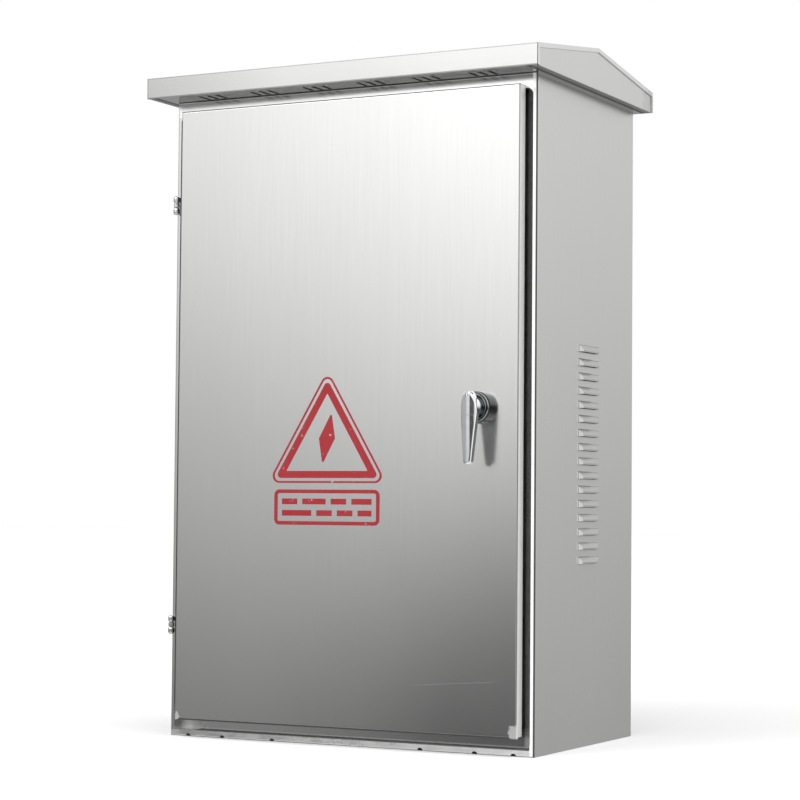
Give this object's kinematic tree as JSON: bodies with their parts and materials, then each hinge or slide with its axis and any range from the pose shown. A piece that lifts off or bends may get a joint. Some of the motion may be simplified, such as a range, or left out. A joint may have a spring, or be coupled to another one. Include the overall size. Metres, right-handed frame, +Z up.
{
  "type": "outdoor switchboard cabinet",
  "caption": "Folded stainless outdoor cabinet with a gabled rain roof, side louvres and a gasketed pan door on bullet hinges, locked by a lever handle with a tongue and rods.",
  "frame": {"origin": "centre of the base, on the plane the cabinet stands on", "axes": "+X right as seen from the front, +Y towards the back, +Z up"},
  "size_m": [0.54, 0.37, 0.851],
  "materials": {
    "body_steel": "satin 2B stainless sheet",
    "frame_steel": "satin stainless, folded and ground",
    "roof_steel": "satin stainless sheet",
    "soffit_steel": "satin stainless sheet",
    "door_steel": "satin stainless with faint upright grain",
    "inner_steel": "pressed stainless strip",
    "galvanised": "zinc coated sheet",
    "hinge_steel": "turned stainless",
    "fastener_steel": "plain stainless fasteners",
    "brass": "turned brass",
    "chrome": "polished plated zinc",
    "dark_chrome": "smoked plated zinc",
    "foam_rubber": "closed-cell foam",
    "grommet_rubber": "moulded rubber",
    "sign_red": "thin red film"
  },
  "bodies": {
    "enclosure": {"back_panel": "body_steel", "bottom_panel": "body_steel", "earth_stud": "fastener_steel", "frame_bottom": "frame_steel", "frame_left": "frame_steel", "frame_right": "frame_steel", "frame_top": "frame_steel", "gland_gasket": "foam_rubber", "gland_plate": "inner_steel", "gland_screws": "fastener_steel", "grommet_left": "grommet_rubber", "grommet_middle": "grommet_rubber", "grommet_right": "grommet_rubber", "hinge_base_lower": "hinge_steel", "hinge_base_upper": "hinge_steel", "hinge_pins": "fastener_steel", "hinge_rings": "hinge_steel", "mounting_plate": "galvanised", "plate_nuts": "fastener_steel", "plate_spacers": "galvanised", "plate_studs": "fastener_steel", "roof_bolts": "fastener_steel", "roof_cover": "roof_steel", "roof_gable_left": "roof_steel", "roof_gable_right": "roof_steel", "roof_nuts": "fastener_steel", "side_panel_left": "body_steel", "side_panel_right": "body_steel", "soffit_front": "soffit_steel", "soffit_left": "soffit_steel", "soffit_rear": "soffit_steel", "soffit_right": "soffit_steel", "top_panel": "body_steel", "vent_filters": "foam_rubber"},
    "door": {"door_panel": "door_steel", "door_gasket": "foam_rubber", "door_stiffener_left": "inner_steel", "door_stiffener_right": "inner_steel", "door_sign": "sign_red", "door_label": "sign_red", "hinge_leaf_upper": "hinge_steel", "hinge_leaf_lower": "hinge_steel", "lock_boss": "dark_chrome", "lock_nut": "fastener_steel", "rod_guide_top": "inner_steel", "rod_guide_high": "inner_steel", "rod_guide_low": "inner_steel", "rod_guide_bottom": "inner_steel"},
    "handle": {"handle_lever": "chrome", "handle_spindle": "fastener_steel", "lock_tongue": "inner_steel", "tongue_screw": "fastener_steel", "crank_pins": "fastener_steel", "cover_pin": "fastener_steel"},
    "key_cover": {"key_cover": "chrome"},
    "key_plug": {"key_plug": "brass"},
    "upper_rod": {"rod_upper": "inner_steel"},
    "lower_rod": {"rod_lower": "inner_steel"}
  },
  "joints": [
    {"name": "door_hinge", "type": "hinge", "parent": "enclosure", "child": "door", "pos_m": [-0.247, -0.156, 0.4035], "axis": [0, 0, -1], "range_deg": [0, 175]},
    {"name": "handle_turn", "type": "hinge", "parent": "door", "child": "handle", "pos_m": [0.185, -0.18, 0.406], "axis": [0, 1, 0], "range_deg": [0, 90]},
    {"name": "key_cover_flip", "type": "hinge", "parent": "handle", "child": "key_cover", "pos_m": [0.185, -0.1983, 0.421], "axis": [-1, 0, 0], "range_deg": [0, 95]},
    {"name": "key_turn", "type": "hinge", "parent": "handle", "child": "key_plug", "pos_m": [0.185, -0.192, 0.406], "axis": [0, 1, 0], "range_deg": [0, 90]},
    {"name": "upper_rod_slide", "type": "slide", "parent": "door", "child": "upper_rod", "axis": [0, 0, 1], "range_m": [0, 0.0227]},
    {"name": "lower_rod_slide", "type": "slide", "parent": "door", "child": "lower_rod", "axis": [0, 0, -1], "range_m": [0, 0.0227]}
  ],
  "couplings": [
    {"joint": "upper_rod_slide", "follows": "handle_turn", "m_per_rad": 0.014405},
    {"joint": "lower_rod_slide", "follows": "handle_turn", "m_per_rad": 0.014405}
  ]
}
